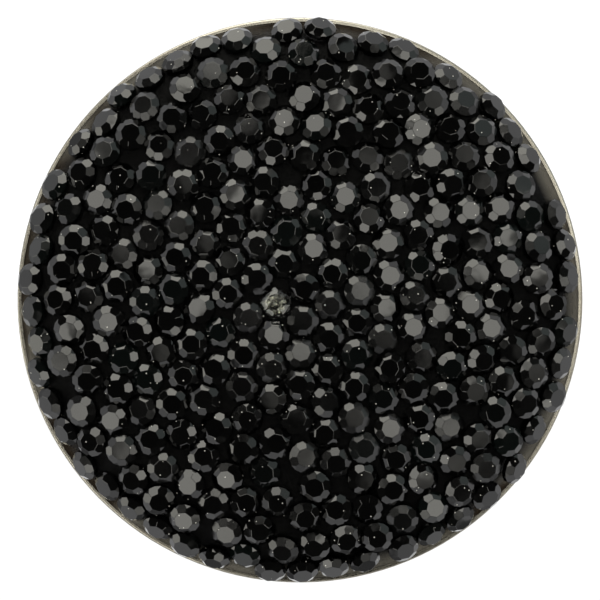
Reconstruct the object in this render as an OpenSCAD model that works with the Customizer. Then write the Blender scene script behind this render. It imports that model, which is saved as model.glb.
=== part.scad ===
// Round domed pin, pavé-set with faceted flat-back stones, on a bar pin with a turning safety catch.
// It stands upright as it is worn: the face looks along -Y, the pin bar is on the +Y side, and +Z is up.
// The origin is the centre of the tray's flat back.

/* [Badge] */
// Diameter over the lip of the tray
badge_d = 40; // [34:1:52]
// Radius of the big curve across the middle of the dome
crown_r = 65; // [55:1:90]
// Radius of the small curve at the dome's shoulder
shoulder_r = 4.4; // [3.8:0.1:5.4]
// Slope of the dome where it meets the tray, in degrees
edge_slope = 70; // [66:1:78]

/* [Tray] */
// Thickness of the tray's floor
floor_t = 0.5; // [0.4:0.05:0.8]
// Thickness of the tray's wall
wall_t = 0.3; // [0.3:0.05:0.6]
// Height of the tray over its lip
tray_h = 1.5; // [1.3:0.05:2]
// How far the lip stands out past the wall
lip_out = 0.18; // [0.17:0.01:0.4]
// Thickness of the lip
lip_t = 0.32; // [0.24:0.02:0.5]

/* [Filling] */
// Thickness of the adhesive that the stones are set in
bed_t = 0.6; // [0.4:0.05:1]
// Gap between cast or glued pieces
bond_gap = 0.02; // [0.01:0.01:0.05]

/* [Stones] */
// Diameter of one stone
stone_d = 2.2; // [1.8:0.1:2.6]
// Height of a stone's straight skirt
skirt_h = 0.3; // [0.25:0.01:0.45]
// Height of the cut crown above the skirt
crown_h = 0.36; // [0.3:0.01:0.5]
// Width of the flat table on top, across its flats
table_w = 1.22; // [1:0.02:1.4]
// Least gap between the edges of two stones
stone_gap = 0.05; // [0.04:0.01:0.12]
// How much of the dome the stones fill, as a share of its area
fill_share = 0.83; // [0.7:0.01:0.84]
// Largest lean of a stone away from the dome's own slope, in degrees
lean_max = 9; // [0:1:12]
// How much smaller than the rest a stone may be, as a share
size_spread = 0.03; // [0:0.01:0.06]
// Slopes of the dome between which the last stones sit, in degrees
last_slope = [47, 55];
// Number that picks the scatter of the stones
scatter = 11; // [1:1:99]
// Where the clear accent stone sits on the face, right and up from the centre
accent_at = [-1, 0.2];
// Thickness of the foil behind the accent stone
foil_t = 0.05; // [0.03:0.01:0.08]

/* [Pin bar] */
// Length of the bar
bar_l = 32; // [28:1:34]
// Width of the bar
bar_w = 4.6; // [4:0.1:6]
// Thickness of the bar
bar_t = 0.8; // [0.6:0.1:1.2]
// Height of the bar above the badge's centre
bar_up = 5; // [3:0.5:7]
// Distance between the two rivets
rivet_span = 12; // [8:1:15]
// Diameter of a rivet's shank
rivet_d = 1.4; // [1:0.1:1.8]
// Diameter of a rivet's head
rivet_head_d = 2.6; // [2.2:0.1:3]
// Thickness of a rivet's head
rivet_head_t = 0.4; // [0.3:0.05:0.6]
// Gap round a rivet in its holes
rivet_gap = 0.04; // [0.02:0.01:0.08]

/* [Stem and hinge] */
// Diameter of the stem's wire
stem_d = 0.8; // [0.7:0.05:1]
// Distance from the hinge to the end of the bar
hinge_inset = 3; // [2.5:0.1:4]
// How far the stem's point reaches past the catch
point_past = 1.9; // [1.5:0.1:2.2]
// Length of the ground point
point_l = 3.2; // [2:0.1:5]
// Outer diameter of the stem's eye
eye_d = 2.2; // [2:0.1:2.6]
// Thickness of the eye
eye_t = 1.5; // [1.2:0.1:1.8]
// Diameter of the hinge rivet
axle_d = 0.8; // [0.7:0.05:1]
// Running gap round the hinge rivet
axle_gap = 0.04; // [0.02:0.01:0.08]
// Side gap between the eye and each ear
ear_gap = 0.06; // [0.03:0.01:0.1]
// Thickness of an ear
ear_t = 0.5; // [0.4:0.05:0.7]
// How far the stem opens, in degrees
stem_open = 68; // [50:1:75]

/* [Catch] */
// Distance from the middle of the catch to the end of the bar
catch_inset = 3; // [2.5:0.1:4]
// Outer diameter of the catch housing
housing_d = 3.8; // [3.6:0.1:4.4]
// Wall of the housing
housing_t = 0.45; // [0.35:0.05:0.55]
// Length of the housing along the stem
housing_l = 3; // [2.6:0.1:3.6]
// Thickness of the housing's foot
foot_t = 0.3; // [0.2:0.05:0.5]
// Running gap between housing and rotor
rotor_gap = 0.05; // [0.03:0.01:0.08]
// Wall of the rotor
rotor_t = 0.6; // [0.5:0.05:0.7]
// Length of the rotor
rotor_l = 2.8; // [2.4:0.1:3.4]
// Side gap between the stem and the rotor's slot
slot_gap = 0.16; // [0.1:0.01:0.25]
// How far the rotor turns to lock, in degrees
rotor_turn = 75; // [60:1:80]
// Thickness of the thumb tab
tab_t = 0.7; // [0.5:0.05:0.9]
// How far the thumb tab stands out of the housing
tab_out = 1.3; // [0.8:0.1:2]
// Width of the thumb tab along the stem
tab_w = 2; // [1.4:0.1:2.4]
// Gap beside the tab at each end of its travel
tab_gap = 0.12; // [0.05:0.01:0.3]

/* [Hidden] */
$fn = 96;
BANDS = 8;
BAND_NODES = [for (k = [1:BANDS]) str("stones_band_", k)];

eps = 0.01;

// ---- Dome: a large crown arc that runs tangent into a small shoulder arc ----

wall_outer_r = badge_d / 2 - lip_out;
wall_inner_r = wall_outer_r - wall_t;
dome_r = wall_inner_r - bond_gap;
shoulder_x = dome_r - shoulder_r * sin(edge_slope);
shoulder_z = tray_h - shoulder_r * cos(edge_slope);
crown_slope = asin(shoulder_x / (crown_r - shoulder_r));
crown_z = shoulder_z - (crown_r - shoulder_r) * cos(crown_slope);
crown_arc = crown_r * crown_slope * PI / 180;

// Slope of the dome at a distance s along its skin from the top
function slope_at(s) =
    s < crown_arc ? s / crown_r * 180 / PI : crown_slope + (s - crown_arc) / shoulder_r * 180 / PI;

// Distance along the skin at which the dome has a given slope
function arc_at(slope) =
    slope < crown_slope
        ? crown_r * slope * PI / 180
        : crown_arc + shoulder_r * (slope - crown_slope) * PI / 180;

// Profile point [radius, height] at a slope, for a skin that lies depth below the dome
function profile_at(slope, depth = 0) =
    slope < crown_slope
        ? [(crown_r - depth) * sin(slope), crown_z + (crown_r - depth) * cos(slope)]
        : [shoulder_x + (shoulder_r - depth) * sin(slope), shoulder_z + (shoulder_r - depth) * cos(slope)];

// Point on the dome at a distance s along the skin and an angle a round it
function skin_point(s, a) =
    let (p = profile_at(slope_at(s))) [p[0] * cos(a), p[0] * sin(a), p[1]];

// The same in reverse: the [distance, angle] of the skin under a point
function skin_under(p) =
    let (
        r = norm([p[0], p[1]]),
        on_crown = atan2(r, p[2] - crown_z),
        on_shoulder = atan2(r - shoulder_x, p[2] - shoulder_z)
    ) [on_crown < crown_slope ? arc_at(on_crown) : arc_at(on_shoulder), atan2(p[1], p[0])];

function skin_profile(depth) = [
    for (i = [0:8]) profile_at(crown_slope * i / 8, depth),
    for (i = [1:12]) profile_at(crown_slope + (edge_slope - crown_slope) * i / 12, depth)
];

// ---- Stones: scattered on a sunflower spiral, then pushed apart until none touch ----

pitch = stone_d + stone_gap;
last_arc = [arc_at(last_slope[0]), arc_at(last_slope[1])];
covered_arc = (last_arc[0] + last_arc[1]) / 2 + stone_d / 2;
covered_slope = slope_at(covered_arc);
crown_area = 2 * PI * pow(crown_r, 2) * (1 - cos(crown_slope));
shoulder_area = 2 * PI * shoulder_r * (
    shoulder_x * (covered_slope - crown_slope) * PI / 180
    + shoulder_r * (cos(crown_slope) - cos(covered_slope))
);
stone_count = floor(fill_share * (crown_area + shoulder_area) / (PI * pow(pitch, 2) / 4));
golden_turn = 180 * (3 - sqrt(5));
first_steps = 30;
settle_steps = 90;
settle_gain = 0.8;

function last_arcs() = rands(last_arc[0], last_arc[1], stone_count, scatter + 1);

function scattered() =
    let (
        jog = rands(-stone_d / 2, stone_d / 2, 3 * stone_count, scatter),
        last = (last_arc[0] + last_arc[1]) / 2
    ) [
        for (i = [0:stone_count - 1])
            skin_point(last * sqrt((i + 0.5) / stone_count), i * golden_turn)
                + [jog[3 * i], jog[3 * i + 1], jog[3 * i + 2]]
    ];

function neighbours(seats) = [
    for (i = [0:stone_count - 1])
        [for (j = [0:stone_count - 1]) if (j != i && norm(seats[i] - seats[j]) < 1.9 * pitch) j]
];

function sum_of(vectors) = len(vectors) == 0 ? [0, 0, 0] : [for (v = vectors) 1] * vectors;

// How far the stones around a seat push it away
function push(p, others) = sum_of([for (q = others) (p - q) * max(0, pitch / norm(p - q) - 1) / 2]);

function settle_once(seats, near, last) = [
    for (i = [0:stone_count - 1])
        let (
            pushed = seats[i] + settle_gain * push(seats[i], [for (j = near[i]) seats[j]]),
            under = skin_under(pushed)
        ) skin_point(min(under[0], last[i]), under[1])
];

function settle(start, last, steps) =
    let (near = neighbours(start)) [
        for (step = 0, seats = start; step <= steps; seats = settle_once(seats, near, last), step = step + 1)
            if (step == steps) seats
    ][0];

function settled_seats() =
    let (last = last_arcs()) settle(settle(scattered(), last, first_steps), last, settle_steps);

// Size of each stone as a share of the full size: no more than its nearest neighbour leaves room for
function stone_sizes(seats) =
    let (near = neighbours(seats), less = rands(0, size_spread, stone_count, scatter + 2)) [
        for (i = [0:stone_count - 1])
            min(1 - less[i], (min([for (j = near[i]) norm(seats[i] - seats[j])]) - stone_gap) / stone_d)
    ];

// Number of the stone that lies nearest to the accent stone's place
function accent_index(seats) =
    let (
        reach = [for (p = seats) norm([p[0], p[1]] - accent_at)],
        least = min(reach)
    ) [for (i = [0:stone_count - 1]) if (reach[i] == least) i][0];

stone_lean = [for (u = rands(0, 1, stone_count, scatter + 3)) lean_max * u];
stone_lean_way = rands(0, 360, stone_count, scatter + 4);
stone_spin = rands(0, 45, stone_count, scatter + 5);
seat_gap = 0.03;
accent_lift = foil_t + bond_gap;

// A stone's cut: eight main facets round the table, and eight steeper break facets between them,
// which meet the ridges between the mains part of the way up
flat_r = stone_d / 2 * cos(180 / 16);
break_share = 0.5;
break_r = (flat_r - break_share * (flat_r - table_w / 2)) / cos(180 / 8);
break_z = skirt_h + break_share * crown_h;
break_top_r = flat_r - (flat_r - break_r) * crown_h / (break_z - skirt_h);

// ---- Pin bar, hinge and catch, in a frame that looks at the back: x right, y up, z off the tray ----

hinge_x = -(bar_l / 2 - hinge_inset);
catch_x = bar_l / 2 - catch_inset;
axis_z = bar_t + foot_t + housing_d / 2;
stem_l = catch_x - hinge_x + housing_l / 2 + point_past;
point_r = 0.06;
ear_in = eye_t / 2 + ear_gap;
ear_out = ear_in + ear_t;
ear_r = eye_d / 2;
axle_head_t = 0.25;
axle_head_r = axle_d / 2 + 0.25;
stop_gap = 0.03;
heel_l = (axis_z - bar_t - stop_gap - stem_d / 2 * cos(stem_open)) / sin(stem_open);
head_chamfer = 0.12;

bore_r = housing_d / 2 - housing_t;
rotor_r = bore_r - rotor_gap;
rotor_in_r = rotor_r - rotor_t;
slot_w = stem_d + 2 * slot_gap;
tab_half_angle = asin(tab_t / 2 / bore_r);
tab_margin = 3;
tab_at = asin(slot_w / 2 / rotor_r) + tab_half_angle + tab_margin;
tab_play = tab_gap / bore_r * 180 / PI;
window_from = tab_at - rotor_turn - tab_half_angle - tab_play;
window_to = tab_at + tab_half_angle + tab_play;
foot_w = bar_w - 0.8;

// Stands a face-up piece upright, with its face along -Y
module upright() {
    rotate([90, 0, 0]) children();
}

// Puts a piece drawn in the back frame on the tray's back
module on_back() {
    upright() rotate([0, 180, 0]) translate([0, bar_up, 0]) children();
}

// Turns an outline in the y-z plane into a solid that runs along x
module along_x(length) {
    rotate([90, 0, 90]) linear_extrude(height = length, center = true) children();
}

// Round bar along y, centred
module across(r, length) {
    rotate([90, 0, 0]) cylinder(r = r, h = length, center = true);
}

module rivet_places() {
    for (side = [-1, 1]) translate([side * rivet_span / 2, 0, 0]) children();
}

// ---- Front ----

module rim_tray() {
    lip_r = lip_t / 2;
    foot_chamfer = 0.3;
    color("silver") difference() {
        upright() rotate_extrude($fn = 128) polygon([
            [0, 0],
            [wall_outer_r - foot_chamfer, 0],
            [wall_outer_r, foot_chamfer],
            [wall_outer_r, tray_h - lip_t],
            for (a = [-90:30:90])
                [badge_d / 2 - lip_r + lip_r * cos(a), tray_h - lip_r + lip_r * sin(a)],
            [wall_inner_r, tray_h],
            [wall_inner_r, floor_t],
            [0, floor_t]
        ]);
        on_back() rivet_places() cylinder(
            d = rivet_d + 2 * rivet_gap, h = 2 * (floor_t + bond_gap), center = true
        );
    }
}

module dome_core() {
    skin = skin_profile(bed_t + bond_gap);
    foot_r = skin[len(skin) - 1][0];
    pocket_h = rivet_head_t + 2 * bond_gap;
    color("dimgray") difference() {
        upright() rotate_extrude($fn = 128) polygon(concat(
            skin,
            [[foot_r, floor_t + bond_gap], [0, floor_t + bond_gap]]
        ));
        on_back() rivet_places() translate([0, 0, -floor_t - pocket_h])
            cylinder(d = rivet_head_d + 2 * rivet_gap, h = pocket_h + eps);
    }
}

module setting_bed() {
    inner = skin_profile(bed_t);
    last = len(inner) - 1;
    color("black") upright() rotate_extrude($fn = 128) polygon(concat(
        skin_profile(0),
        [[dome_r, floor_t + bond_gap], [inner[last][0], floor_t + bond_gap]],
        [for (i = [last:-1:0]) inner[i]]
    ));
}

// One cut stone, flat back down, scaled by size: every other facet round it is a main or a break
module stone(size) {
    r = size * flat_r;
    skirt = size * skirt_h;
    top = size * (skirt_h + crown_h);
    intersection_for (k = [0:7]) {
        lip = size * (k % 2 == 0 ? table_w / 2 : break_top_r);
        rotate(22.5 * k) rotate([90, 0, 0]) linear_extrude(height = 2 * stone_d, center = true)
            polygon([[-r, 0], [r, 0], [r, skirt], [lip, top], [-lip, top], [-r, skirt]]);
    }
}

// Puts a piece on the seat of stone i, leaning as that stone leans
module on_seat(seats, i, lift = 0) {
    under = skin_under(seats[i]);
    raise = seat_gap + lift + stone_d / 2 * sin(stone_lean[i]);
    upright() translate(seats[i]) rotate([0, slope_at(under[0]), under[1]]) translate([0, 0, raise])
        rotate(stone_lean_way[i]) rotate([stone_lean[i], 0, 0]) rotate(stone_spin[i]) children();
}

// The stones of one band, counted from the middle of the face; the bands have equal areas
module stone_band(band) {
    seats = settled_seats();
    sizes = stone_sizes(seats);
    accent = accent_index(seats);
    from = last_arc[1] * sqrt((band - 1) / BANDS);
    to = last_arc[1] * sqrt(band / BANDS) + (band == BANDS ? eps : 0);
    color([0.07, 0.07, 0.07]) for (i = [0:stone_count - 1]) {
        s = skin_under(seats[i])[0];
        if (i != accent && s >= from && s < to) on_seat(seats, i) stone(sizes[i]);
    }
}

module accent_stone() {
    seats = settled_seats();
    i = accent_index(seats);
    color([0.85, 0.85, 0.8]) on_seat(seats, i, accent_lift) stone(stone_sizes(seats)[i]);
}

module accent_foil() {
    seats = settled_seats();
    color([0.8, 0.75, 0.6]) on_seat(seats, accent_index(seats)) cylinder(r = 0.9 * flat_r, h = foil_t);
}

// ---- Back ----

module bar_base() {
    color("silver") on_back() difference() {
        union() {
            linear_extrude(height = bar_t) {
                square([bar_l - bar_w, bar_w], center = true);
                for (side = [-1, 1]) translate([side * (bar_l - bar_w) / 2, 0]) circle(d = bar_w);
            }
            for (side = [-1, 1]) translate([hinge_x, side * (ear_in + ear_out) / 2, axis_z]) {
                across(ear_r, ear_t);
                translate([-ear_r, -ear_t / 2, bar_t - axis_z - eps])
                    cube([2 * ear_r, ear_t, axis_z - bar_t + eps]);
            }
        }
        rivet_places() translate([0, 0, -eps]) cylinder(d = rivet_d + 2 * rivet_gap, h = bar_t + 2 * eps);
        translate([hinge_x, 0, axis_z]) across(axle_d / 2 + bond_gap, 2 * ear_out + 2 * eps);
    }
}

module bar_rivets() {
    color("lightgray") on_back() rivet_places() {
        translate([0, 0, -floor_t]) cylinder(d = rivet_d, h = floor_t + bar_t);
        translate([0, 0, bar_t]) {
            cylinder(d = rivet_head_d, h = rivet_head_t - head_chamfer);
            translate([0, 0, rivet_head_t - head_chamfer])
                cylinder(d1 = rivet_head_d, d2 = rivet_head_d - 4 * head_chamfer, h = head_chamfer);
        }
        translate([0, 0, -floor_t - rivet_head_t]) cylinder(d = rivet_head_d, h = rivet_head_t);
    }
}

module hinge_rivet() {
    head_at = ear_out + bond_gap + axle_head_t / 2;
    color("gray") on_back() translate([hinge_x, 0, axis_z]) {
        across(axle_d / 2, 2 * head_at);
        for (side = [-1, 1]) translate([0, side * head_at, 0]) across(axle_head_r, axle_head_t);
    }
}

module pin_stem() {
    color("lightsteelblue") on_back() translate([hinge_x, 0, axis_z]) difference() {
        union() {
            across(eye_d / 2, eye_t);
            rotate([0, 90, 0]) cylinder(d = stem_d, h = stem_l - point_l);
            translate([stem_l - point_l, 0, 0]) rotate([0, 90, 0])
                cylinder(r1 = stem_d / 2, r2 = point_r, h = point_l);
            rotate([0, -90, 0]) cylinder(d = stem_d, h = heel_l);
        }
        across(axle_d / 2 + axle_gap, eye_t + 2 * eps);
    }
}

module catch_housing() {
    color("silver") on_back() translate([catch_x, 0, axis_z]) difference() {
        union() {
            along_x(housing_l) circle(d = housing_d);
            translate([-housing_l / 2, -foot_w / 2, bar_t - axis_z])
                cube([housing_l, foot_w, foot_t + housing_t]);
        }
        along_x(housing_l + 2 * eps) circle(r = bore_r);
        along_x(housing_l + 2 * eps) polygon([
            [0, 0],
            for (k = [0:4])
                let (a = window_from + (window_to - window_from) * k / 4)
                    housing_d * [sin(a), cos(a)]
        ]);
    }
}

module catch_rotor() {
    tab_from = rotor_in_r + rotor_t / 2;
    tab_to = housing_d / 2 + tab_out;
    color("gainsboro") on_back() translate([catch_x, 0, axis_z]) {
        difference() {
            along_x(rotor_l) circle(r = rotor_r);
            along_x(rotor_l + 2 * eps) circle(r = rotor_in_r);
            along_x(rotor_l + 2 * eps) translate([-slot_w / 2, 0]) square([slot_w, housing_d]);
        }
        rotate([-tab_at, 0, 0]) translate([-tab_w / 2, -tab_t / 2, tab_from])
            cube([tab_w, tab_t, tab_to - tab_from]);
    }
}

rim_tray();
dome_core();
setting_bed();
accent_stone();
accent_foil();
for (k = [1:BANDS]) stone_band(k);
bar_base();
bar_rivets();
hinge_rivet();
pin_stem();
catch_housing();
catch_rotor();
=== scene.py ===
# %% [markdown]
# # A round pin covered in black stones
#
# This lesson dresses a finished mechanical model of a brooch in Blender. The model comes in as a fixed
# frame: a stamped tray, a resin dome, a skin of black adhesive, about 270 cut stones, and a bar pin with a
# stem and a safety catch on the back. The frame says where everything is. The lesson adds what the eye
# sees: crisp facets with soft edges, adhesive that climbs the stones, plated metal and the light that makes
# a black stone read as black.

import math
import random

import bmesh
import bpy
import numpy as np
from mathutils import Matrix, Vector, noise
from mathutils.bvhtree import BVHTree
from mathutils.kdtree import KDTree


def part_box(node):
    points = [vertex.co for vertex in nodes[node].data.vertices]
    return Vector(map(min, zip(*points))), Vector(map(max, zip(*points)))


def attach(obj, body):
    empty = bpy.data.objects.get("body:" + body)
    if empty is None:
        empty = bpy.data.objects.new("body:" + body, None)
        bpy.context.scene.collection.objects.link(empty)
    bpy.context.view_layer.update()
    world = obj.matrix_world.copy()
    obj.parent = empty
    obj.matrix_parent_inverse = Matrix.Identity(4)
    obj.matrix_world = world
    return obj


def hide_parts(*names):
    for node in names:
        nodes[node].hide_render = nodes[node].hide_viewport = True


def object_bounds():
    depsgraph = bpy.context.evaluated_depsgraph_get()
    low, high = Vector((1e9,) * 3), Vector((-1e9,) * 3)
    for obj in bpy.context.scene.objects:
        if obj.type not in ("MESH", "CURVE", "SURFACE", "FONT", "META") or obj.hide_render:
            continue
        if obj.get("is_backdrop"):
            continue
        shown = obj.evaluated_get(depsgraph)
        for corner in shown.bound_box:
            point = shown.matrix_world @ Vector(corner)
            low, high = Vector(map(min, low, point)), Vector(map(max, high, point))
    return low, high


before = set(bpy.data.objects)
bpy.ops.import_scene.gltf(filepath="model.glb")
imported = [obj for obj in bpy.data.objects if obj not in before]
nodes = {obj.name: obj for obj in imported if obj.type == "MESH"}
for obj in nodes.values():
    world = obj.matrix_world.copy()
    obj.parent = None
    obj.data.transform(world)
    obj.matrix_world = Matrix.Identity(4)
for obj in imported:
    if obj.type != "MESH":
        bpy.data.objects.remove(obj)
cad_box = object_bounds()
MM = 0.001

# %% [markdown]
# ## Small helpers
#
# Every length is written in millimetres and multiplied by `MM`. A colour is written as the hex value that
# a paint chart gives, and one function turns it into the linear values that Blender mixes with. One more
# function adds a node to a tree, so that a material or a Geometry Nodes tree reads from top to bottom.

# %% Colours and nodes
def linear(hex_colour):
    """An sRGB hex colour as linear red, green, blue and alpha."""
    parts = [int(hex_colour[i : i + 2], 16) / 255 for i in (1, 3, 5)]
    return (*[c / 12.92 if c <= 0.04045 else ((c + 0.055) / 1.055) ** 2.4 for c in parts], 1.0)


def add(tree, kind, links=None, values=None, **settings):
    """Adds one node: its settings, its fixed inputs and the outputs that feed it."""
    node = tree.nodes.new(kind)
    for name, value in settings.items():
        setattr(node, name, value)
    for key, value in (values or {}).items():
        node.inputs[key].default_value = value
    for key, source in (links or {}).items():
        tree.links.new(source, node.inputs[key])
    return node


def new_material(name):
    """An empty node material and its tree."""
    material = bpy.data.materials.new(name)
    material.use_nodes = True
    material.node_tree.nodes.clear()
    return material, material.node_tree


def mesh_object(name, mesh):
    """A mesh as an object in the scene, at the origin."""
    made = bpy.data.objects.new(name, mesh)
    bpy.context.scene.collection.objects.link(made)
    return made


print("linear mid grey:", [round(c, 3) for c in linear("#808080")])

# %% [markdown]
# ## Camera
#
# The face is seen square on, as on a catalogue page. A long lens from 40 cm keeps the dome's rim from
# bulging. The lens is worked out from the badge's width, so that the badge fills the same share of the
# picture whatever its size.

# %% Camera
FACE_SHARE = 0.942  # badge width as a share of the picture width
CAMERA_AWAY = 400 * MM
SENSOR = 36.0

tray_low, tray_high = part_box("rim_tray")
badge_d = tray_high.x - tray_low.x
lip_y = tray_low.y
camera_data = bpy.data.cameras.new("camera")
camera_data.sensor_width = SENSOR
camera_data.lens = SENSOR * CAMERA_AWAY / (badge_d / FACE_SHARE)
camera_data.clip_end = 10
camera = bpy.data.objects.new("camera", camera_data)
camera.location = (0, lip_y - CAMERA_AWAY, 0)
camera.rotation_euler = (math.radians(90), 0, 0)
bpy.context.scene.collection.objects.link(camera)
bpy.context.scene.camera = camera
print(f"badge {badge_d / MM:.1f} mm, lens {camera_data.lens:.0f} mm")

# %% [markdown]
# ## Studio
#
# A polished black stone has no tone of its own: it shows what it mirrors. The studio is therefore a white
# room, which lights the metal and the rim, a dark tent in front of the badge with pale patches sewn in, for
# the stones' tables, and soft panels beside it, for their slanted facets. All of them glow with a fixed
# strength, so the tone of a facet that mirrors one can be worked out: it sends back a twenty-fifth of it.

# %% White room and floor
ROOM_LIGHT = 1.15
FLOOR_DROP = 14 * MM
FLOOR_SIZE = 6.0

scene = bpy.context.scene
scene.view_settings.view_transform = "Standard"
world = bpy.data.worlds.new("room")
world.use_nodes = True
scene.world = world
world.node_tree.nodes["Background"].inputs["Color"].default_value = linear("#FFFFFF")
world.node_tree.nodes["Background"].inputs["Strength"].default_value = ROOM_LIGHT

floor_material, tree = new_material("pale_floor")
grain = add(tree, "ShaderNodeTexNoise", values={"Scale": 400.0, "Detail": 3.0})
shade = add(tree, "ShaderNodeValToRGB", links={"Fac": grain.outputs["Fac"]})
shade.color_ramp.elements[0].color = linear("#F4F4F3")
shade.color_ramp.elements[1].color = linear("#F9F9F8")
surface = add(tree, "ShaderNodeBsdfDiffuse", links={"Color": shade.outputs["Color"]})
add(tree, "ShaderNodeOutputMaterial", links={"Surface": surface.outputs["BSDF"]})

floor_mesh = bpy.data.meshes.new("floor")
half = FLOOR_SIZE / 2
floor_z = tray_low.z - FLOOR_DROP
floor_mesh.from_pydata(
    [(-half, -half, floor_z), (half, -half, floor_z), (half, half, floor_z), (-half, half, floor_z)],
    [],
    [(0, 1, 2, 3)],
)
floor_mesh.materials.append(floor_material)
floor = mesh_object("floor", floor_mesh)
floor.visible_glossy = False
floor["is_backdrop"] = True
print(f"floor at {floor_z / MM:.0f} mm")

# %% Helpers for cards that only reflections see
def reflected_only(card):
    """Shows a staged card in reflections, and nowhere else."""
    card.visible_camera = False
    card.visible_shadow = False
    card.visible_diffuse = False
    card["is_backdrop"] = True
    return card


def sheet(name, corners, material):
    """A flat four-cornered card."""
    mesh = bpy.data.meshes.new(name)
    mesh.from_pydata(corners, [], [(0, 1, 2, 3)])
    mesh.materials.append(material)
    return mesh_object(name, mesh)


def glowing(name, colour, strength):
    """A material that glows evenly."""
    material, tree = new_material(name)
    weave = add(tree, "ShaderNodeTexNoise", values={"Scale": 60.0})
    level = add(
        tree,
        "ShaderNodeMapRange",
        links={"Value": weave.outputs["Fac"]},
        values={"To Min": 0.96 * strength, "To Max": 1.04 * strength},
    )
    glow = add(
        tree,
        "ShaderNodeEmission",
        links={"Strength": level.outputs["Result"]},
        values={"Color": linear(colour)},
    )
    add(tree, "ShaderNodeOutputMaterial", links={"Surface": glow.outputs["Emission"]})
    return material


# %% [markdown]
# The tent is a dark half-globe in front of the badge with pale patches of cloth sewn into its middle. A
# stone's flat table mirrors one patch or the dark beside it, so neighbours that lean a few degrees apart
# come out white, grey or black. The floor is left out of the reflections, as the tent reaches below it.

# %% Tent of dark and pale cloth
TENT_R = 0.62
TENT_DARK = 0.03
TENT_EDGE = 0.06
GLOW_MOST = 8.0  # the glow that the ramp's white stands for
# Where the noise turns from dark cloth to pale, and how much each glows; the first two are the ramp's ends.
CLOTH = [(0.56, TENT_DARK), (0.644, 4.0), (0.58, 0.45), (0.628, 0.95)]
CLOTH_SCALE = 3.4
CLOTH_SHIFT = (4.1, 1.7, 2.6)
MORE_CLOTH = (0.03, 0.0, -0.07)  # the patches are denser lower down
TENT_BACK = -0.14  # the globe stops this share of its radius in front of the badge
CLOTH_FADE = (-0.4, -0.56)  # the Y of a direction where the pale cloth starts to show, and where it is full
EDGE_FADE = (-0.9, -0.2)  # the same for the dark cloth, which goes from TENT_DARK to TENT_EDGE


def tent_cloth():
    """Dark cloth with pale patches near the middle, which fade out towards the sides."""
    material, tree = new_material("tent_cloth")
    place = add(tree, "ShaderNodeTexCoord")
    way = add(
        tree, "ShaderNodeVectorMath", links={0: place.outputs["Object"]}, operation="NORMALIZE"
    )
    moved = add(
        tree,
        "ShaderNodeVectorMath",
        links={0: way.outputs["Vector"]},
        values={1: CLOTH_SHIFT},
        operation="ADD",
    )
    patches = add(
        tree,
        "ShaderNodeTexNoise",
        links={"Vector": moved.outputs["Vector"]},
        values={"Scale": CLOTH_SCALE, "Detail": 0.0},
    )
    towards = add(
        tree,
        "ShaderNodeVectorMath",
        links={0: way.outputs["Vector"]},
        values={1: MORE_CLOTH},
        operation="DOT_PRODUCT",
    )
    more = add(
        tree,
        "ShaderNodeMath",
        links={0: towards.outputs["Value"]},
        values={1: 0.0},
        operation="MAXIMUM",
    )
    denser = add(
        tree,
        "ShaderNodeMath",
        links={0: patches.outputs["Fac"], 1: more.outputs["Value"]},
        operation="ADD",
    )
    level = add(tree, "ShaderNodeValToRGB", links={"Fac": denser.outputs["Value"]})
    stops = level.color_ramp.elements
    for stop, (at, glow) in zip(stops, CLOTH[:2]):
        stop.position, stop.color = at, (*[glow / GLOW_MOST] * 3, 1)
    for at, glow in CLOTH[2:]:
        stops.new(at).color = (*[glow / GLOW_MOST] * 3, 1)
    parts = add(tree, "ShaderNodeSeparateXYZ", links={"Vector": way.outputs["Vector"]})
    middle = add(
        tree,
        "ShaderNodeMapRange",
        links={"Value": parts.outputs["Y"]},
        values={"From Min": CLOTH_FADE[0], "From Max": CLOTH_FADE[1], "To Min": 0.0, "To Max": GLOW_MOST},
    )
    strength = add(
        tree,
        "ShaderNodeMath",
        links={0: level.outputs["Color"], 1: middle.outputs["Result"]},
        operation="MULTIPLY",
    )
    stray = add(
        tree,
        "ShaderNodeMapRange",
        links={"Value": parts.outputs["Y"]},
        values={"From Min": EDGE_FADE[0], "From Max": EDGE_FADE[1], "To Min": TENT_DARK, "To Max": TENT_EDGE},
    )
    never_black = add(
        tree,
        "ShaderNodeMath",
        links={0: strength.outputs["Value"], 1: stray.outputs["Result"]},
        operation="MAXIMUM",
    )
    glow = add(
        tree,
        "ShaderNodeEmission",
        links={"Strength": never_black.outputs["Value"]},
        values={"Color": linear("#FFFDF4")},
    )
    add(tree, "ShaderNodeOutputMaterial", links={"Surface": glow.outputs["Emission"]})
    return material


globe = bmesh.new()
bmesh.ops.create_uvsphere(globe, u_segments=48, v_segments=24, radius=TENT_R)
behind = [v for v in globe.verts if v.co.y > TENT_BACK * TENT_R]
bmesh.ops.delete(globe, geom=behind, context="VERTS")
tent_mesh = bpy.data.meshes.new("tent")
globe.to_mesh(tent_mesh)
globe.free()
tent_mesh.materials.append(tent_cloth())
reflected_only(mesh_object("tent", tent_mesh))


# %% Panels for the slanted facets, and grey cards behind for the metal
def panel(name, off_axis, clock, away, width, height, strength, colour):
    """A glowing card that faces the badge. off_axis and clock, in degrees, say where it stands as seen
    from the badge: how far from the lens, and which way round from the right. Lengths are in metres."""
    a, c = math.radians(off_axis), math.radians(clock)
    way = Vector((math.sin(a) * math.cos(c), -math.cos(a), math.sin(a) * math.sin(c)))
    w, h = width / 2, height / 2
    corners = [(-w, -h, 0), (w, -h, 0), (w, h, 0), (-w, h, 0)]
    card = sheet(name, corners, glowing(name, colour, strength))
    card.location = way * away
    card.rotation_mode = "QUATERNION"
    card.rotation_quaternion = way.to_track_quat("Z", "Y")
    return reflected_only(card)


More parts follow.
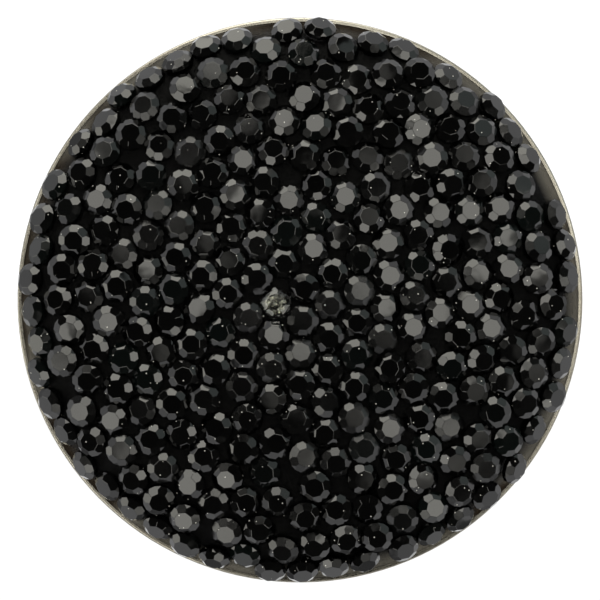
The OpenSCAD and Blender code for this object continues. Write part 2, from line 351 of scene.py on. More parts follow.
panel("top_panel", 74, 98, 0.50, 0.44, 0.34, 4.6, "#FFFDF2")
panel("right_panel", 72, 38, 0.50, 0.40, 0.36, 0.75, "#F2FFFB")
panel("left_panel", 82, 188, 0.50, 0.24, 0.18, 3.2, "#FFFDF2")
panel("back_right_card", 138, 12, 0.50, 0.34, 0.46, 0.32, "#FFFFFF")
panel("back_left_card", 138, 168, 0.50, 0.34, 0.46, 0.32, "#FFFFFF")
panel("back_low_card", 128, 270, 0.50, 0.80, 0.30, 0.25, "#FFFFFF")

# %% [markdown]
# ## Where the stones sit
#
# The frame holds each stone as a plain solid that leans and turns on its own seat. The lesson reads the
# seats back from those solids: the flat back gives the place and the size, the table gives the way the
# stone faces, and one corner of the table gives its turn. A solid's triangles come in loose, so a copy is
# merged first, and flat triangles are joined back into whole facets.

# %% Read the seats from the frame
MERGE = 0.0005 * MM
FLAT_WITHIN = math.radians(0.6)
# Random draws go by a seat's number and a stone's turn by one of its corners, so both are picked by where
# they are. The order in which faces happen to be stored would give another brooch each time.
CORNER_WAY = Vector((0.37, 0.11, 1.0))


def merged_copy(node):
    """A node's mesh with its loose triangles joined and flat ones made whole, as a bmesh."""
    copy = bmesh.new()
    copy.from_mesh(nodes[node].data)
    bmesh.ops.remove_doubles(copy, verts=copy.verts, dist=MERGE)
    bmesh.ops.dissolve_limit(copy, angle_limit=FLAT_WITHIN, verts=copy.verts, edges=copy.edges)
    return copy


def islands(mesh):
    """The separate solids of a bmesh, as lists of faces, in the order of the mesh."""
    left = set(mesh.faces)
    for first in mesh.faces:
        if first not in left:
            continue
        left.remove(first)
        stack, island = [first], []
        while stack:
            face = stack.pop()
            island.append(face)
            for edge in face.edges:
                for other in edge.link_faces:
                    if other in left:
                        left.remove(other)
                        stack.append(other)
        yield island


def read_seats(node):
    """Seats of a node's stones, from the lowest up: place, facing, turn and radius."""
    mesh = merged_copy(node)
    seats = []
    for faces in islands(mesh):
        flat = max(faces, key=lambda f: len(f.verts))
        axis = -flat.normal
        centre = flat.calc_center_median()
        table = max(faces, key=lambda f: (f.calc_center_median() - centre).dot(axis))
        corner = max(table.verts, key=lambda v: v.co.dot(CORNER_WAY)).co - table.calc_center_median()
        turn = (corner - axis * corner.dot(axis)).normalized()
        radius = sum((v.co - centre).length for v in flat.verts) / len(flat.verts)
        levels = sorted({round((v.co - centre).dot(axis) / MM, 2) for f in faces for v in f.verts})
        seats.append({"at": centre, "up": axis, "turn": turn, "r": radius, "levels": levels})
        seats[-1]["table"] = corner.length
    mesh.free()
    return sorted(seats, key=lambda s: s["at"].z)


band_nodes = sorted(n for n in nodes if n.startswith("stones_band_"))
band_seats = {n: read_seats(n) for n in band_nodes}
accent_seat = read_seats("accent_stone")[0]
all_seats = [s for seats in band_seats.values() for s in seats]
full = max(all_seats, key=lambda s: s["r"])
print(len(all_seats), "stones, full radius", round(full["r"] / MM, 3), "levels", full["levels"])

# %% [markdown]
# ## One cut stone
#
# All the stones come from one mould: a straight skirt with sixteen sides, eight main facets round a flat
# table, and eight small break facets between them. The stone is built once, from the sizes just
# read. Moulded edges are never sharp, so the edges round the table and the ridges between the mains get a
# narrow bevel: it is what gives the pinprick glints. The table is a shallow fan whose middle is a few
# thousandths of a millimetre proud, because moulding never leaves it quite flat.

# %% Build the cut stone
EDGE_ROUND = 0.013 * MM
TABLE_CROWN = 0.004 * MM


def ring(count, radius, height, first=0.0):
    """Points of a ring round the stone's axis; first is the angle of the first one, in degrees."""
    turns = [math.radians(first + 360 * i / count) for i in range(count)]
    return [Vector((radius * math.cos(t), radius * math.sin(t), height)) for t in turns]


def cut_stone(name, skirt, break_top, top, girdle_r, break_r, table_r):
    """The stone as an object, table up, with a table corner on its X axis."""
    mesh = bmesh.new()
    base = [mesh.verts.new(p) for p in ring(16, girdle_r, 0, 11.25)]
    girdle = [mesh.verts.new(p) for p in ring(16, girdle_r, skirt, 11.25)]
    peaks = [mesh.verts.new(p) for p in ring(8, break_r, break_top)]
    table = [mesh.verts.new(p) for p in ring(8, table_r, top)]
    mesh.faces.new(base[::-1])
    for i in range(16):
        j = (i + 1) % 16
        mesh.faces.new([base[i], base[j], girdle[j], girdle[i]])
    for k in range(8):
        left, right = girdle[2 * k - 1], girdle[2 * k]
        mesh.faces.new([left, right, peaks[k]])
        after = (k + 1) % 8
        mesh.faces.new([right, girdle[2 * k + 1], peaks[after], table[after], table[k], peaks[k]])
    lid = mesh.faces.new(table)
    soft = [e for e in mesh.edges if lid in e.link_faces]
    soft += [e for e in mesh.edges if e.verts[0] in peaks and e.verts[1] in table]
    soft += [e for e in mesh.edges if e.verts[1] in peaks and e.verts[0] in table]
    bmesh.ops.bevel(
        mesh, geom=soft, offset=EDGE_ROUND, segments=1, profile=0.5, affect="EDGES", clamp_overlap=True
    )
    mesh.normal_update()
    lid = max(mesh.faces, key=lambda f: f.calc_center_median().z)
    fan = bmesh.ops.poke(mesh, faces=[lid])
    for vert in fan["verts"]:
        vert.co.z += TABLE_CROWN
    for face in fan["faces"]:
        face.smooth = True
        for edge in face.edges:
            if not any(vert in fan["verts"] for vert in edge.verts):
                edge.smooth = False
    made = bpy.data.meshes.new(name)
    mesh.to_mesh(made)
    mesh.free()
    return mesh_object(name, made)


skirt, break_top, top = (v * MM for v in full["levels"][1:4])
flat_r = full["r"] * math.cos(math.radians(11.25))
table_r = full["table"]
main_r = table_r * math.cos(math.radians(22.5))
share = (break_top - skirt) / (top - skirt)
break_r = (flat_r - share * (flat_r - main_r)) / math.cos(math.radians(22.5))
stone_shape = cut_stone("cut_stone", skirt, break_top, top, full["r"], break_r, table_r)
print("facets on a stone:", len(stone_shape.data.polygons))

# %% [markdown]
# ## Setting the stones
#
# Setting so many stones by hand would be hopeless, and copying the mesh in a loop would hide the
# rule. Geometry Nodes says it plainly: one point for each seat, one stone on each point, turned by the two
# directions stored there and tipped a few degrees more at random. Each stone also draws two random numbers
# from a fixed seed, which the material reads later: how dark it is and how hazy its polish is.

# %% Geometry Nodes: set stones on seats
EXTRA_LEAN = 6.0  # degrees
DEPTHS = (-0.06, 0.08)  # how far below or above its seat a stone was pressed, in mm
SNUG = 1.05  # a touch larger than in the frame, to close the gaps; many neighbours cut in by a hair


def setting_tree():
    """Stones on the seats' points, with named inputs for the stone, the material and the seed."""
    tree = bpy.data.node_groups.new("set_stones", "GeometryNodeTree")
    face = tree.interface
    face.new_socket("Seats", in_out="INPUT", socket_type="NodeSocketGeometry")
    face.new_socket("Stone", in_out="INPUT", socket_type="NodeSocketObject")
    face.new_socket("Material", in_out="INPUT", socket_type="NodeSocketMaterial")
    face.new_socket("Seed", in_out="INPUT", socket_type="NodeSocketInt")
    face.new_socket("Stones", in_out="OUTPUT", socket_type="NodeSocketGeometry")
    given = add(tree, "NodeGroupInput")
    shape = add(tree, "GeometryNodeObjectInfo", links={"Object": given.outputs["Stone"]})
    up = add(tree, "GeometryNodeInputNamedAttribute", values={"Name": "up"}, data_type="FLOAT_VECTOR")
    turn = add(tree, "GeometryNodeInputNamedAttribute", values={"Name": "turn"}, data_type="FLOAT_VECTOR")
    size = add(tree, "GeometryNodeInputNamedAttribute", values={"Name": "size"}, data_type="FLOAT")
    facing = add(
        tree,
        "FunctionNodeAxesToRotation",
        links={"Primary Axis": up.outputs["Attribute"], "Secondary Axis": turn.outputs["Attribute"]},
        primary_axis="Z",
        secondary_axis="X",
    )
    points = add(tree, "GeometryNodeMeshToPoints", links={"Mesh": given.outputs["Seats"]})
    stones = add(
        tree,
        "GeometryNodeInstanceOnPoints",
        links={
            "Points": points.outputs["Points"],
            "Instance": shape.outputs["Geometry"],
            "Rotation": facing.outputs["Rotation"],
            "Scale": size.outputs["Attribute"],
        },
    )
    tip = math.radians(EXTRA_LEAN)
    tipped = add(
        tree,
        "FunctionNodeRandomValue",
        links={"Seed": given.outputs["Seed"]},
        values={0: (-tip, -tip, 0), 1: (tip, tip, 0)},
        data_type="FLOAT_VECTOR",
    )
    leaning = add(
        tree,
        "GeometryNodeRotateInstances",
        links={"Instances": stones.outputs["Instances"], "Rotation": tipped.outputs[0]},
    )
    depth = add(
        tree,
        "FunctionNodeRandomValue",
        links={"Seed": given.outputs["Seed"]},
        values={0: (0, 0, DEPTHS[0] * MM), 1: (0, 0, DEPTHS[1] * MM)},
        data_type="FLOAT_VECTOR",
    )
    pressed = add(
        tree,
        "GeometryNodeTranslateInstances",
        links={"Instances": leaning.outputs["Instances"], "Translation": depth.outputs[0]},
    )
    flow = pressed.outputs["Instances"]
    for offset, name in enumerate(("shade", "haze")):
        seed = add(
            tree,
            "ShaderNodeMath",
            links={0: given.outputs["Seed"]},
            values={1: float(offset)},
            operation="ADD",
        )
        draw = add(tree, "FunctionNodeRandomValue", links={"Seed": seed.outputs["Value"]})
        store = add(
            tree,
            "GeometryNodeStoreNamedAttribute",
            links={"Geometry": flow, "Value": draw.outputs[1]},
            values={"Name": name},
            data_type="FLOAT",
            domain="INSTANCE",
        )
        flow = store.outputs["Geometry"]
    whole = add(tree, "GeometryNodeRealizeInstances", links={"Geometry": flow})
    dressed = add(
        tree,
        "GeometryNodeSetMaterial",
        links={"Geometry": whole.outputs["Geometry"], "Material": given.outputs["Material"]},
    )
    add(tree, "NodeGroupOutput", links={"Stones": dressed.outputs["Geometry"]})
    return tree


def seat_points(name, seats):
    """A mesh with one vertex for each seat, carrying where its stone faces and how big it is."""
    mesh = bpy.data.meshes.new(name)
    mesh.from_pydata([s["at"] for s in seats], [], [])
    for key in ("up", "turn"):
        mesh.attributes.new(key, "FLOAT_VECTOR", "POINT").data.foreach_set(
            "vector", [c for s in seats for c in s[key]]
        )
    mesh.attributes.new("size", "FLOAT", "POINT").data.foreach_set(
        "value", [s["r"] / full["r"] * SNUG for s in seats]
    )
    return mesh_object(name, mesh)


def set_inputs(modifier, **values):
    """Sets a Geometry Nodes modifier's inputs by the identifiers of its sockets."""
    for item in modifier.node_group.interface.items_tree:
        if item.in_out == "INPUT" and item.name in values:
            modifier[item.identifier] = values[item.name]


def plain_mesh(name, source):
    """The evaluated result of an object as a new plain object; the source is removed."""
    seen = source.evaluated_get(bpy.context.evaluated_depsgraph_get())
    mesh = bpy.data.meshes.new_from_object(seen)
    mesh.name = name
    bpy.data.objects.remove(source)
    return mesh_object(name, mesh)


set_stones = setting_tree()
print("inputs:", [i.name for i in set_stones.interface.items_tree if i.in_out == "INPUT"])

# %% [markdown]
# ## Jet-black stones
#
# The stones are cast acrylic, dyed through with black. Polished acrylic mirrors about four parts in a
# hundred straight on and much more at a glance, which is an index of refraction near 1.5 and a low
# roughness. A faint waviness from the mould bends each reflection a little, and some stones have lost
# polish. The black is a trace green, as black dye is.

# %% Material: dyed acrylic
def dyed_acrylic():
    """Cast acrylic, dyed through: a deep black under a sharp mirror, with a few pale specks that are partly
    dust and partly painted glints.
    """
    material, tree = new_material("dyed_acrylic")
    place = add(tree, "ShaderNodeTexCoord")
    shade = add(tree, "ShaderNodeAttribute", attribute_name="shade")
    haze = add(tree, "ShaderNodeAttribute", attribute_name="haze")
    tone = add(tree, "ShaderNodeValToRGB", links={"Fac": shade.outputs["Fac"]})
    tone.color_ramp.elements[0].color = linear("#010101")
    tone.color_ramp.elements[1].color = linear("#040706")
    tone.color_ramp.elements.new(0.8).color = linear("#030303")
    polish = add(
        tree,
        "ShaderNodeMapRange",
        links={"Value": haze.outputs["Fac"]},
        values={"From Min": 0.7, "From Max": 1.0, "To Min": 0.05, "To Max": 0.22},
    )
    wave = add(
        tree,
        "ShaderNodeTexNoise",
        links={"Vector": place.outputs["Object"]},
        values={"Scale": 0.9 / MM, "Detail": 1.0},
    )
    mould = add(
        tree,
        "ShaderNodeBump",
        links={"Height": wave.outputs["Fac"]},
        values={"Strength": 0.25, "Distance": 0.02 * MM},
    )
    # Pale specks: partly dust, partly painted glints that stand in for the pinprick highlights at facet
    # corners.
    dust_and_glint_cells = add(
        tree,
        "ShaderNodeTexVoronoi",
        links={"Vector": place.outputs["Object"]},
        values={"Scale": 1.5 / MM},
    )
    dust_and_glint_speck = add(
        tree,
        "ShaderNodeMath",
        links={0: dust_and_glint_cells.outputs["Distance"]},
        values={1: 0.07},
        operation="LESS_THAN",
    )
    colour = add(
        tree,
        "ShaderNodeMix",
        links={"Factor": dust_and_glint_speck.outputs["Value"], 6: tone.outputs["Color"]},
        values={7: linear("#B9B6AB")},
        data_type="RGBA",
    )
    shader = add(
        tree,
        "ShaderNodeBsdfPrincipled",
        links={
            "Base Color": colour.outputs[2],
            "Roughness": polish.outputs["Result"],
            "Normal": mould.outputs["Normal"],
        },
        values={"IOR": 1.5},
    )
    add(tree, "ShaderNodeOutputMaterial", links={"Surface": shader.outputs["BSDF"]})
    return material


acrylic = dyed_acrylic()

# %% Set each band of stones
SEED = 7
for number, node in enumerate(band_nodes):
    points = seat_points(node + "_seats", band_seats[node])
    setter = points.modifiers.new("set", "NODES")
    setter.node_group = set_stones
    set_inputs(setter, Stone=stone_shape, Material=acrylic, Seed=SEED + 3 * number)
    stones = plain_mesh(node.replace("stones", "set"), points)
    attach(stones, "badge")
    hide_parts(node)
    print(stones.name, len(stones.data.polygons), "facets")

# %% [markdown]
# ## Adhesive between the stones
#
# The frame's bed is a smooth skin. The real one was poured, then the stones were pushed into it,
# so it stands up between them and climbs their sides. The lesson measures the skin's profile with rays,
# lays rings of points along it at equal steps, and lifts each point by how near it is to a stone. The
# rings then go down the wall of the tray and back along the underside, which makes the bed a closed solid.

# %% Measure the skin and lay rings on it
RING_STEP = 0.26 * MM
BED_DEPTH = 0.6 * MM
RAYS = 800  # along the radius
JUST_INSIDE = 0.9995  # of the radius, so that the last ray still hits


def probe(node):
    """A ray tester for a node's mesh."""
    mesh = bmesh.new()
    mesh.from_mesh(nodes[node].data)
    tester = BVHTree.FromBMesh(mesh)
    mesh.free()
    return tester


def skin_rows(node, step):
    """Points [radius, y] down the front skin of a round node, at equal steps along the skin."""
    low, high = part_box(node)
    tester = probe(node)
    fine = []
    for i in range(RAYS + 1):
        r = high.x * (i / RAYS) * JUST_INSIDE
        hit = tester.ray_cast(Vector((r, low.y - 5 * MM, 1e-6)), Vector((0, 1, 0)))[0]
        if hit:
            fine.append((r, hit.y))
    fine = np.array(fine)
    travel = np.concatenate([[0], np.cumsum(np.hypot(*np.diff(fine, axis=0).T))])
    wanted = np.linspace(0, travel[-1], int(travel[-1] / step) + 1)
    return np.column_stack([np.interp(wanted, travel, fine[:, i]) for i in (0, 1)])


def zip_rings(faces, inner, outer):
    """Triangles between two rings of vertices that may differ in count."""
    i = j = 0
    while i < len(inner) or j < len(outer):
        a, b = inner[i % len(inner)], outer[j % len(outer)]
        if (j + 1) / len(outer) <= (i + 1) / len(inner):
            faces.append([a, b, outer[(j + 1) % len(outer)]])
            j += 1
        else:
            faces.append([a, b, inner[(i + 1) % len(inner)]])
            i += 1


rows = skin_rows("setting_bed", RING_STEP)
floor_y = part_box("setting_bed")[1].y
edge_r = rows[-1][0]
print(len(rows), "rings, skin ends at radius", round(edge_r / MM, 2))

# %% Raise the adhesive between the stones
stone_tree = KDTree(len(all_seats) + 1)
for i, seat in enumerate(all_seats + [accent_seat]):
    stone_tree.insert(seat["at"], i)
stone_tree.balance()
stone_radii = [s["r"] for s in all_seats + [accent_seat]]
# In mm: how high the adhesive stands off the skin, how much higher it climbs at a stone and how far out,
# and the least it may be under one. Lumps about 1 mm and 0.3 mm across are added.
STANDS, CLIMBS, CLIMB_WIDTH, LEAST = 0.06, 0.12, 0.13, 0.02


def adhesive_lift(point):
    """How far the adhesive stands off the smooth skin at a point."""
    gap = min(distance - stone_radii[i] for _, i, distance in stone_tree.find_n(point, 3))
    level = STANDS + 0.05 * noise.noise(point * (0.9 / MM)) + 0.02 * noise.noise(point * (3.1 / MM))
    if gap < 0:
        return max(LEAST, level + CLIMBS + 0.5 * gap / MM) * MM
    return (level + CLIMBS * math.exp(-gap / (CLIMB_WIDTH * MM))) * MM


faces, rings = [], []
slopes = np.gradient(rows[:, 1], rows[:, 0])
verts = [Vector((0, rows[0][1] - adhesive_lift(Vector((0, rows[0][1], 0))), 0))]
for k, (r, y) in enumerate(rows[1:], 1):
    ring_at = []
    away = Vector((slopes[k], -1)).normalized()
    for i in range(6 * k):
        t = 2 * math.pi * (i + 0.5 * (k % 2)) / (6 * k)
        p = Vector((r * math.cos(t), y, r * math.sin(t)))
        n = Vector((away.x * math.cos(t), away.y, away.x * math.sin(t)))
        ring_at.append(len(verts))
        verts.append(p + n * adhesive_lift(p))
    rings.append(ring_at)
for i in range(6):
    faces.append([0, rings[0][i], rings[0][(i + 1) % 6]])
for inner, outer in zip(rings, rings[1:]):
    zip_rings(faces, inner, outer)


def plain_ring(count, r, y):
    """Adds a ring of vertices at a radius and height; returns their numbers."""
    first = len(verts)
    for i in range(count):
        t = 2 * math.pi * i / count
        verts.append(Vector((r * math.cos(t), y, r * math.sin(t))))
    return list(range(first, first + count))


LAP, LAP_UP = 0.22 * MM, 0.05 * MM  # how far the adhesive laps over the rim, and how high it lies there
UNDER_STEP = 8  # the hidden underside needs only one ring in eight
lap = [(edge_r + LAP, rows[-1][1] - LAP_UP), (edge_r, rows[-1][1] + 0.01 * MM)]
last = rings[-1]
for r, y in lap + [(edge_r, floor_y), (edge_r - BED_DEPTH, floor_y)]:
    after = plain_ring(len(rings[-1]), r, y)
    zip_rings(faces, last, after)
    last = after
for k in range(len(rows) - 1, 6, -UNDER_STEP):
    away = Vector((slopes[k], -1)).normalized() * BED_DEPTH
    after = plain_ring(6 * k, rows[k][0] - away.x, rows[k][1] - away.y)
    zip_rings(faces, last, after)
    last = after
verts.append(Vector((0, rows[0][1] + BED_DEPTH, 0)))
for i in range(len(last)):
    faces.append([len(verts) - 1, last[i], last[(i + 1) % len(last)]])

bed_mesh = bpy.data.meshes.new("poured_bed")
bed_mesh.from_pydata(verts, [], faces)
shaped = bmesh.new()
shaped.from_mesh(bed_mesh)
bmesh.ops.recalc_face_normals(shaped, faces=shaped.faces)
open_edges = sum(1 for e in shaped.edges if len(e.link_faces) != 2)
for face in shaped.faces:
    face.smooth = True
shaped.to_mesh(bed_mesh)
shaped.free()
poured_bed = mesh_object("poured_bed", bed_mesh)
print(len(bed_mesh.polygons), "triangles, open edges:", open_edges)

# %% [markdown]
# ## Black adhesive
#
# The adhesive is a two-part epoxy, dyed black and lumpy. Real epoxy is glossy. Here its mirror is kept to
# about a tenth of that, or the gaps would come out as grey as the stones. At the rim, where it was spread
# thin over the metal, it turns a brownish grey.

# %% Material: dyed epoxy
def dyed_epoxy():
    """Epoxy, poured and dyed black: lumpy between the stones, brownish grey where it is thin."""
    material, tree = new_material("dyed_epoxy")
    place = add(tree, "ShaderNodeTexCoord")
    lumps = add(
        tree,
        "ShaderNodeTexNoise",
        links={"Vector": place.outputs["Object"]},
        values={"Scale": 3.2 / MM, "Detail": 4.0, "Roughness": 0.65},
    )
    uneven = add(
        tree,
        "ShaderNodeBump",
        links={"Height": lumps.outputs["Fac"]},
        values={"Strength": 1.0, "Distance": 0.16 * MM},
    )
    flat = add(
        tree,
        "ShaderNodeVectorMath",
        links={0: place.outputs["Object"]},
        values={1: (1, 0, 1)},
        operation="MULTIPLY",
    )
    out = add(tree, "ShaderNodeVectorMath", links={0: flat.outputs["Vector"]}, operation="LENGTH")
    patches = add(
        tree,
        "ShaderNodeTexNoise",
        links={"Vector": place.outputs["Object"]},
        values={"Scale": 0.12 / MM, "Detail": 1.0},
    )
    near_rim = add(
        tree,
        "ShaderNodeMapRange",
        links={"Value": out.outputs["Value"]},
        values={"From Min": edge_r - 0.9 * MM, "From Max": edge_r + 0.1 * MM, "To Min": 0.0, "To Max": 1.0},
    )
    in_patch = add(
        tree,
        "ShaderNodeMapRange",
        links={"Value": patches.outputs["Fac"]},
        values={"From Min": 0.35, "From Max": 0.55, "To Min": 0.35, "To Max": 0.9},
    )
    thin = add(
        tree,
        "ShaderNodeMath",
        links={0: near_rim.outputs["Result"], 1: in_patch.outputs["Result"]},
        operation="MULTIPLY",
    )
    own = add(tree, "ShaderNodeValToRGB", links={"Fac": patches.outputs["Fac"]})
    own.color_ramp.elements[0].position = 0.4
    own.color_ramp.elements[0].color = linear("#8E897C")
    own.color_ramp.elements[1].position = 0.6
    own.color_ramp.elements[1].color = linear("#2C241A")
    colour = add(
        tree,
        "ShaderNodeMix",
        links={"Factor": thin.outputs["Value"], 7: own.outputs["Color"]},
        values={6: linear("#020202")},
        data_type="RGBA",
    )
    shader = add(
        tree,
        "ShaderNodeBsdfPrincipled",
        links={"Base Color": colour.outputs[2], "Normal": uneven.outputs["Normal"]},
        values={"Roughness": 0.12, "IOR": 1.45, "Specular IOR Level": 0.05},
    )
    add(tree, "ShaderNodeOutputMaterial", links={"Surface": shader.outputs["BSDF"]})
    return material


bed_mesh.materials.append(dyed_epoxy())
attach(poured_bed, "badge")
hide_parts("setting_bed")

# %% [markdown]
# ## The clear stone and its foil
#
# One stone near the middle is clear. It is the same moulding in clear acrylic on a scrap of silver
# foil, which crumpled as it was pressed in: each crease sends back a different bit of the room.

# %% Crumpled foil
FOIL_SEED = 3
FOIL_CREASE = 0.05 * MM
FOIL_SHARE = 0.58  # of the stone's radius
FOIL_RINGS = 6
FOIL_JOG = 0.03 * MM


def crumpled_foil(name, seat):
    """A creased disc under a seat: jogged points on rings and flat triangles."""
    low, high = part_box("accent_foil")
    rng = random.Random(FOIL_SEED)
    up, turn = seat["up"], seat["turn"]
    side = up.cross(turn)
    centre = (low + high) / 2
    radius = FOIL_SHARE * seat["r"]
    verts = [centre.copy()]
    for k in range(1, FOIL_RINGS + 1):
        for i in range(6 * k):
            t = 2 * math.pi * i / (6 * k)
            r = radius * k / FOIL_RINGS + rng.uniform(-FOIL_JOG, FOIL_JOG) * (k < FOIL_RINGS)
            rise = rng.uniform(-0.5, 0.5) * FOIL_CREASE
            verts.append(centre + turn * (r * math.cos(t)) + side * (r * math.sin(t)) + up * rise)
    rings = [[0]]
    for k in range(1, FOIL_RINGS + 1):
        rings.append(list(range(1 + 3 * k * (k - 1), 1 + 3 * k * (k + 1))))
    faces = []
    for inner, outer in zip(rings, rings[1:]):
        zip_rings(faces, inner, outer)
    faces = [f for f in faces if len(set(f)) == 3]
    mesh = bpy.data.meshes.new(name)
    mesh.from_pydata(verts, [], faces)
    return mesh_object(name, mesh)


def foil_metal():
    """Silvered foil: bright metal whose creases each tilt a little differently, each painted a tone from near
    black to pale for glitter's dark and bright reflections.
    """
    material, tree = new_material("silver_foil")
    place = add(tree, "ShaderNodeTexCoord")
    creases = add(
        tree,
        "ShaderNodeTexVoronoi",
        links={"Vector": place.outputs["Object"]},
        values={"Scale": 5.5 / MM, "Randomness": 1.0},
    )
    # Painted glitter: each crease gets a tone from near black to pale. The dark ones are painted shade and
    # the pale ones painted highlights.
    painted_glitter_tone = add(tree, "ShaderNodeValToRGB", links={"Fac": creases.outputs["Color"]})
    painted_glitter_tone.color_ramp.elements[0].position = 0.42
    painted_glitter_tone.color_ramp.elements[0].color = linear("#12120F")
    painted_glitter_tone.color_ramp.elements[1].position = 0.8
    painted_glitter_tone.color_ramp.elements[1].color = linear("#A3A192")
    folds = add(
        tree,
        "ShaderNodeBump",
        links={"Height": creases.outputs["Color"]},
        values={"Strength": 1.0, "Distance": 0.05 * MM},
    )
    shader = add(
        tree,
        "ShaderNodeBsdfPrincipled",
        links={"Base Color": painted_glitter_tone.outputs["Color"], "Normal": folds.outputs["Normal"]},
        values={"Metallic": 1.0, "Roughness": 0.2},
    )
    add(tree, "ShaderNodeOutputMaterial", links={"Surface": shader.outputs["BSDF"]})
    return material


foil = crumpled_foil("creased_foil", accent_seat)
foil.data.materials.append(foil_metal())
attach(foil, "badge")
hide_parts("accent_foil")
print("foil triangles:", len(foil.data.polygons))

# %% Clear stone
def clear_acrylic():
    """Cast acrylic without dye: clear, with the faint waviness that a mould leaves."""
    material, tree = new_material("clear_acrylic")
    place = add(tree, "ShaderNodeTexCoord")
    wave = add(
        tree,
        "ShaderNodeTexNoise",
        links={"Vector": place.outputs["Object"]},
        values={"Scale": 1.4 / MM, "Detail": 1.0},
    )
    mould = add(
        tree,
        "ShaderNodeBump",
        links={"Height": wave.outputs["Fac"]},
        values={"Strength": 0.3, "Distance": 0.02 * MM},
    )
    shader = add(
        tree,
        "ShaderNodeBsdfPrincipled",
        links={"Normal": mould.outputs["Normal"]},
        values={
            "Base Color": linear("#EDEFEF"),
            "Roughness": 0.03,
            "IOR": 1.49,
            "Transmission Weight": 1.0,
        },
    )
    add(tree, "ShaderNodeOutputMaterial", links={"Surface": shader.outputs["BSDF"]})
    return material


points = seat_points("accent_seat", [accent_seat])
setter = points.modifiers.new("set", "NODES")
setter.node_group = set_stones
set_inputs(setter, Stone=stone_shape, Material=clear_acrylic(), Seed=SEED)
clear_stone = plain_mesh("clear_cut_stone", points)
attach(clear_stone, "badge")
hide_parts("accent_stone")
bpy.data.objects.remove(stone_shape)
print("clear stone facets:", len(clear_stone.data.polygons))

# %% [markdown]
# ## Metal
#
# The tray and the fittings are stamped, then plated. Stamping leaves every edge a little round, and the
# round edge is what catches the light, so each piece gets a fine bevel. Flat faces stay flat and turned
# ones stay smooth: the angle between two faces decides. The plating is cloudy over about 8 mm and finely
# drawn along the way that each piece was worked, and the wire is the brightest of the three.

# %% Finish the metal pieces
SHARP = math.radians(34)  # two faces that meet at more than this make an edge


def finished(node, body, material, edge):
    """A copy of a node with its loose triangles joined, its edges rounded and a material."""
    mesh = merged_copy(node)
    for face in mesh.faces:
        face.smooth = True
    for e in mesh.edges:
        e.smooth = not (len(e.link_faces) == 2 and e.calc_face_angle() > SHARP)
    data = bpy.data.meshes.new(node + "_finished")
    mesh.to_mesh(data)
    mesh.free()
    data.materials.append(material)
    piece = mesh_object(node + "_finished", data)
    rounding = piece.modifiers.new("round_edges", "BEVEL")
    rounding.width = edge * MM
    rounding.segments = 2
    rounding.limit_method = "ANGLE"
    rounding.angle_limit = SHARP
    rounding.harden_normals = True
    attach(piece, body)
    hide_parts(node)
    return piece


def plated(name, light, dark, low_rough, high_rough, marks, stretch):
    """Plated metal: two tones of the plating, its roughness range and the marks that run along it."""
    material, tree = new_material(name)
    place = add(tree, "ShaderNodeTexCoord")
    along = add(
        tree,
        "ShaderNodeMapping",
        links={"Vector": place.outputs["Object"]},
        values={"Scale": stretch},
    )
    lines = add(
        tree,
        "ShaderNodeTexNoise",
        links={"Vector": along.outputs["Vector"]},
        values={"Scale": marks / MM, "Detail": 4.0, "Roughness": 0.6},
    )
    cloud = add(
        tree,
        "ShaderNodeTexNoise",
        links={"Vector": place.outputs["Object"]},
        values={"Scale": 0.12 / MM, "Detail": 2.0},
    )
    tone = add(tree, "ShaderNodeValToRGB", links={"Fac": cloud.outputs["Fac"]})
    tone.color_ramp.elements[0].position = 0.35
    tone.color_ramp.elements[0].color = linear(dark)
    tone.color_ramp.elements[1].position = 0.65
    tone.color_ramp.elements[1].color = linear(light)
    rough = add(
        tree,
        "ShaderNodeMapRange",
        links={"Value": lines.outputs["Fac"]},
        values={"From Min": 0.3, "From Max": 0.7, "To Min": low_rough, "To Max": high_rough},
    )
    scratch = add(
        tree,
        "ShaderNodeBump",
        links={"Height": lines.outputs["Fac"]},
        values={"Strength": 0.12, "Distance": 0.02 * MM},
    )
    shader = add(
        tree,
        "ShaderNodeBsdfPrincipled",
        links={
            "Base Color": tone.outputs["Color"],
            "Roughness": rough.outputs["Result"],
            "Normal": scratch.outputs["Normal"],
        },
        values={"Metallic": 1.0},
    )
    add(tree, "ShaderNodeOutputMaterial", links={"Surface": shader.outputs["BSDF"]})
    return material


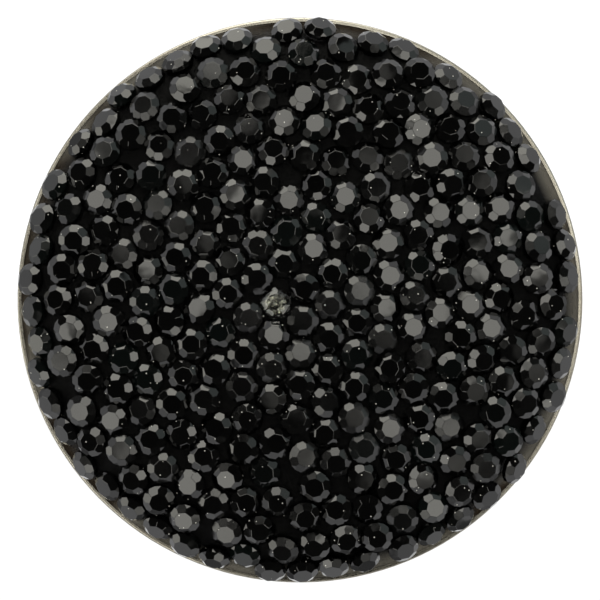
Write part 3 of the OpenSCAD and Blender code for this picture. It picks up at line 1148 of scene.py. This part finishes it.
tray_metal = plated("tray_plating", "#A5A196", "#9B968B", 0.24, 0.38, 6, (1, 0.3, 1))
fitting_metal = plated("fitting_plating", "#BFBCB3", "#B2AEA5", 0.12, 0.24, 5, (0.15, 1, 1))
wire_metal = plated("drawn_wire", "#C6C4BC", "#BAB7AE", 0.08, 0.2, 8, (0.05, 1, 1))

finished("rim_tray", "badge", tray_metal, 0.05)
finished("bar_base", "badge", fitting_metal, 0.12)
finished("bar_rivets", "badge", fitting_metal, 0.08)
finished("hinge_rivet", "badge", fitting_metal, 0.06)
finished("catch_housing", "badge", fitting_metal, 0.07)
finished("pin_stem", "stem", wire_metal, 0.03)
finished("catch_rotor", "rotor", fitting_metal, 0.06)

# %% [markdown]
# ## The resin core
#
# The core is hidden once the brooch is whole, but it is there, and its shape is right as it comes. It only
# needs the dull finish of a cast that nobody polished.

# %% Cast resin inside
def cast_resin():
    """Cast polyester resin: dull and dark, a little cloudy from fine bubbles."""
    material, tree = new_material("cast_resin")
    place = add(tree, "ShaderNodeTexCoord")
    bubbles = add(
        tree,
        "ShaderNodeTexNoise",
        links={"Vector": place.outputs["Object"]},
        values={"Scale": 1.2 / MM, "Detail": 4.0},
    )
    tone = add(tree, "ShaderNodeValToRGB", links={"Fac": bubbles.outputs["Fac"]})
    tone.color_ramp.elements[0].color = linear("#1A1917")
    tone.color_ramp.elements[1].color = linear("#2B2926")
    shader = add(
        tree,
        "ShaderNodeBsdfPrincipled",
        links={"Base Color": tone.outputs["Color"]},
        values={"Roughness": 0.55, "IOR": 1.5},
    )
    add(tree, "ShaderNodeOutputMaterial", links={"Surface": shader.outputs["BSDF"]})
    return material


core = nodes["dome_core"]
core.data.materials.clear()
core.data.materials.append(cast_resin())

# %% [markdown]
# ## The size of the dressed model
#
# The dressed model must be the size of the mechanical one: both boxes are printed.

# %% Print the sizes
dressed_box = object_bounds()
sizes = {"cad": [list(corner) for corner in cad_box], "visual": [list(corner) for corner in dressed_box]}
print({k: [[round(c / MM, 2) for c in corner] for corner in v] for k, v in sizes.items()})
